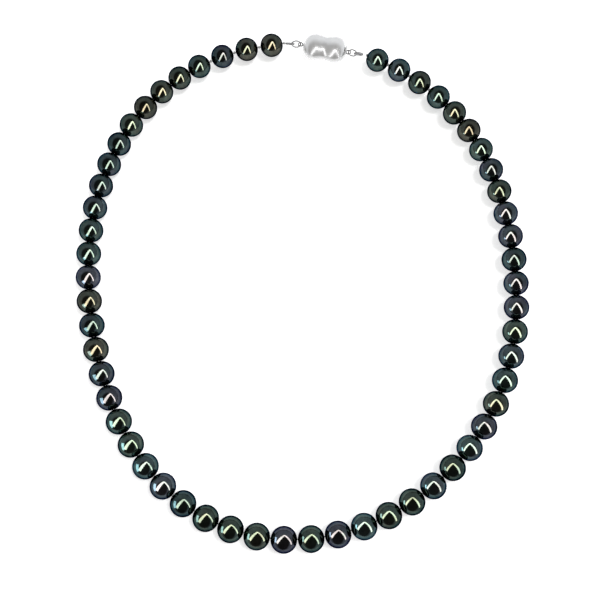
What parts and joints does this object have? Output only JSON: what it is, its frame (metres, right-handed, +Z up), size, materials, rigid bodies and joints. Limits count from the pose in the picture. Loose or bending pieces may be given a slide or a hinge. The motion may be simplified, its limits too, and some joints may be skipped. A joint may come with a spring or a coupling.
{
  "type": "pearl necklace",
  "caption": "Single strand of round dark pearls on silk, closed by a two-lobed push-in clasp and lying flat in an open loop.",
  "frame": {"origin": "on the table, under the middle of the loop's box", "axes": "+Z up from the table; +X is the way the tongue pulls out of the clasp's case; +Y from the middle of the strand to the clasp"},
  "size_m": [0.1409, 0.1661, 0.0075],
  "materials": {
    "pearl": "polished",
    "silver": "polished",
    "gimp": "satin",
    "silk": "matte"
  },
  "bodies": {
    "run_27_30": {"pearl_27": "pearl", "pearl_28": "pearl", "pearl_29": "pearl", "pearl_30": "pearl", "silk_thread": "silk"},
    "clasp_case": {"clasp_cover": "silver", "clasp_base": "silver", "clasp_keeper": "silver", "case_eyelet": "silver"},
    "left_link": {"left_ring": "silver", "left_gimp": "gimp"},
    "run_01_02": {"pearl_01": "pearl", "pearl_02": "pearl"},
    "run_03_04": {"pearl_03": "pearl", "pearl_04": "pearl"},
    "run_05_06": {"pearl_05": "pearl", "pearl_06": "pearl"},
    "run_07_11": {"pearl_07": "pearl", "pearl_08": "pearl", "pearl_09": "pearl", "pearls_10_11": "pearl"},
    "run_12_17": {"pearl_12": "pearl", "pearls_13_14": "pearl", "pearl_15": "pearl", "pearls_16_17": "pearl"},
    "run_18_20": {"pearl_18": "pearl", "pearls_19_20": "pearl"},
    "run_21_23": {"pearl_21": "pearl", "pearl_22": "pearl", "pearl_23": "pearl"},
    "run_24_26": {"pearl_24": "pearl", "pearl_25": "pearl", "pearl_26": "pearl"},
    "run_31_34": {"pearl_31": "pearl", "pearl_32": "pearl", "pearl_33": "pearl", "pearl_34": "pearl"},
    "run_35_36": {"pearl_35": "pearl", "pearl_36": "pearl"},
    "run_37_39": {"pearl_37": "pearl", "pearls_38_39": "pearl"},
    "run_40_45": {"pearl_40": "pearl", "pearls_41_42": "pearl", "pearl_43": "pearl", "pearls_44_45": "pearl"},
    "run_46_47": {"pearl_46": "pearl", "pearl_47": "pearl"},
    "run_48_49": {"pearl_48": "pearl", "pearl_49": "pearl"},
    "run_50_51": {"pearl_50": "pearl", "pearl_51": "pearl"},
    "pearl_52": {"pearl_52": "pearl"},
    "pearl_53": {"pearl_53": "pearl"},
    "pearl_54": {"pearl_54": "pearl"},
    "pearl_55": {"pearl_55": "pearl"},
    "pearl_56": {"pearl_56": "pearl"},
    "right_gimp": {"right_gimp": "gimp"},
    "right_ring": {"right_ring": "silver"},
    "tongue": {"clasp_tongue": "silver"},
    "tongue_leaf": {"tongue_leaf": "silver"}
  },
  "joints": [
    {"name": "bend_26_27", "type": "hinge", "parent": "run_27_30", "child": "run_24_26", "pos_m": [-0.01059, -0.07764, 0.00375], "axis": [0, 0, 1], "range_deg": [-12, 12]},
    {"name": "bend_23_24", "type": "hinge", "parent": "run_24_26", "child": "run_21_23", "pos_m": [-0.031, -0.06781, 0.00375], "axis": [0, 0, 1], "range_deg": [-12, 12]},
    {"name": "bend_20_21", "type": "hinge", "parent": "run_21_23", "child": "run_18_20", "pos_m": [-0.04656, -0.05122, 0.00375], "axis": [0, 0, 1], "range_deg": [-12, 12]},
    {"name": "bend_17_18", "type": "hinge", "parent": "run_18_20", "child": "run_12_17", "pos_m": [-0.05737, -0.03113, 0.00375], "axis": [0, 0, 1], "range_deg": [-12, 12]},
    {"name": "bend_11_12", "type": "hinge", "parent": "run_12_17", "child": "run_07_11", "pos_m": [-0.06663, 0.0133, 0.00375], "axis": [0, 0, 1], "range_deg": [-12, 12]},
    {"name": "bend_06_07", "type": "hinge", "parent": "run_07_11", "child": "run_05_06", "pos_m": [-0.0566, 0.04955, 0.00375], "axis": [0, 0, 1], "range_deg": [-12, 12]},
    {"name": "bend_04_05", "type": "hinge", "parent": "run_05_06", "child": "run_03_04", "pos_m": [-0.04707, 0.06136, 0.00375], "axis": [0, 0, 1], "range_deg": [-12, 12]},
    {"name": "bend_02_03", "type": "hinge", "parent": "run_03_04", "child": "run_01_02", "pos_m": [-0.03373, 0.07092, 0.00375], "axis": [0, 0, 1], "range_deg": [-14, 14]},
    {"name": "left_gimp_swivel", "type": "hinge", "parent": "run_01_02", "child": "left_link", "pos_m": [-0.01807, 0.07718, 0.00375], "axis": [0, 0, 1], "range_deg": [-25, 25]},
    {"name": "left_ring_swivel", "type": "hinge", "parent": "left_link", "child": "clasp_case", "pos_m": [-0.01267, 0.07843, 0.00265], "axis": [0, 0, 1], "range_deg": [-25, 25]},
    {"name": "bend_30_31", "type": "hinge", "parent": "run_27_30", "child": "run_31_34", "pos_m": [0.01941, -0.07625, 0.00375], "axis": [0, 0, 1], "range_deg": [-12, 12]},
    {"name": "bend_34_35", "type": "hinge", "parent": "run_31_34", "child": "run_35_36", "pos_m": [0.04504, -0.0603, 0.00375], "axis": [0, 0, 1], "range_deg": [-12, 12]},
    {"name": "bend_36_37", "type": "hinge", "parent": "run_35_36", "child": "run_37_39", "pos_m": [0.05471, -0.04858, 0.00375], "axis": [0, 0, 1], "range_deg": [-12, 12]},
    {"name": "bend_39_40", "type": "hinge", "parent": "run_37_39", "child": "run_40_45", "pos_m": [0.06409, -0.02786, 0.00375], "axis": [0, 0, 1], "range_deg": [-12, 12]},
    {"name": "bend_45_46", "type": "hinge", "parent": "run_40_45", "child": "run_46_47", "pos_m": [0.06356, 0.01737, 0.00375], "axis": [0, 0, 1], "range_deg": [-12, 12]},
    {"name": "bend_47_48", "type": "hinge", "parent": "run_46_47", "child": "run_48_49", "pos_m": [0.0592, 0.03195, 0.00375], "axis": [0, 0, 1], "range_deg": [-12, 12]},
    {"name": "bend_49_50", "type": "hinge", "parent": "run_48_49", "child": "run_50_51", "pos_m": [0.05268, 0.04569, 0.00375], "axis": [0, 0, 1], "range_deg": [-12, 12]},
    {"name": "bend_51_52", "type": "hinge", "parent": "run_50_51", "child": "pearl_52", "pos_m": [0.04356, 0.05784, 0.00375], "axis": [0, 0, 1], "range_deg": [-12, 12]},
    {"name": "bend_52_53", "type": "hinge", "parent": "pearl_52", "child": "pearl_53", "pos_m": [0.03802, 0.06306, 0.00375], "axis": [0, 0, 1], "range_deg": [-12, 12]},
    {"name": "bend_53_54", "type": "hinge", "parent": "pearl_53", "child": "pearl_54", "pos_m": [0.03173, 0.06767, 0.00375], "axis": [0, 0, 1], "range_deg": [-14, 14]},
    {"name": "bend_54_55", "type": "hinge", "parent": "pearl_54", "child": "pearl_55", "pos_m": [0.02476, 0.07157, 0.00375], "axis": [0, 0, 1], "range_deg": [-14, 14]},
    {"name": "bend_55_56", "type": "hinge", "parent": "pearl_55", "child": "pearl_56", "pos_m": [0.01737, 0.07458, 0.00375], "axis": [0, 0, 1], "range_deg": [-14, 14]},
    {"name": "right_gimp_swivel", "type": "hinge", "parent": "pearl_56", "child": "right_gimp", "pos_m": [0.00979, 0.07714, 0.00375], "axis": [0, 0, 1], "range_deg": [-25, 25]},
    {"name": "right_ring_swivel", "type": "hinge", "parent": "right_gimp", "child": "right_ring", "pos_m": [0.00609, 0.07791, 0.00274], "axis": [0, 0, 1], "range_deg": [-25, 25]},
    {"name": "clasp_slide", "type": "slide", "parent": "clasp_case", "child": "tongue", "axis": [1, 0, 0], "range_m": [0, 0.1], "deforming": ["silk_thread", "tongue_leaf"]},
    {"name": "leaf_press", "type": "hinge", "parent": "tongue", "child": "tongue_leaf", "pos_m": [-0.00552, 0.07843, 0.0026], "axis": [0, 1, 0], "range_deg": [0, 6], "stiffness_Nm_per_rad": 0.2}
  ],
  "couplings": [
    {"joint": "bend_26_27", "follows": "clasp_slide", "rad_per_m": 1.6275},
    {"joint": "bend_23_24", "follows": "clasp_slide", "rad_per_m": 1.3046},
    {"joint": "bend_20_21", "follows": "clasp_slide", "rad_per_m": 0.8424},
    {"joint": "bend_17_18", "follows": "clasp_slide", "rad_per_m": 0.4832},
    {"joint": "bend_11_12", "follows": "clasp_slide", "rad_per_m": 0.0785},
    {"joint": "bend_06_07", "follows": "clasp_slide", "rad_per_m": -0.1144},
    {"joint": "bend_04_05", "follows": "clasp_slide", "rad_per_m": -0.1821},
    {"joint": "bend_02_03", "follows": "clasp_slide", "rad_per_m": -0.2641},
    {"joint": "left_gimp_swivel", "follows": "clasp_slide", "rad_per_m": -1.4097},
    {"joint": "left_ring_swivel", "follows": "clasp_slide", "rad_per_m": -1.6651},
    {"joint": "bend_30_31", "follows": "clasp_slide", "rad_per_m": -1.4262},
    {"joint": "bend_34_35", "follows": "clasp_slide", "rad_per_m": -0.7783},
    {"joint": "bend_36_37", "follows": "clasp_slide", "rad_per_m": -0.474},
    {"joint": "bend_39_40", "follows": "clasp_slide", "rad_per_m": -0.1702},
    {"joint": "bend_45_46", "follows": "clasp_slide", "rad_per_m": 0.0552},
    {"joint": "bend_47_48", "follows": "clasp_slide", "rad_per_m": 0.0847},
    {"joint": "bend_49_50", "follows": "clasp_slide", "rad_per_m": 0.1054},
    {"joint": "bend_51_52", "follows": "clasp_slide", "rad_per_m": 0.1101},
    {"joint": "bend_52_53", "follows": "clasp_slide", "rad_per_m": 0.1062},
    {"joint": "bend_53_54", "follows": "clasp_slide", "rad_per_m": 0.0991},
    {"joint": "bend_54_55", "follows": "clasp_slide", "rad_per_m": 0.0852},
    {"joint": "bend_55_56", "follows": "clasp_slide", "rad_per_m": 0.0606},
    {"joint": "right_gimp_swivel", "follows": "clasp_slide", "rad_per_m": 0.125},
    {"joint": "right_ring_swivel", "follows": "clasp_slide", "rad_per_m": 0.0483}
  ]
}
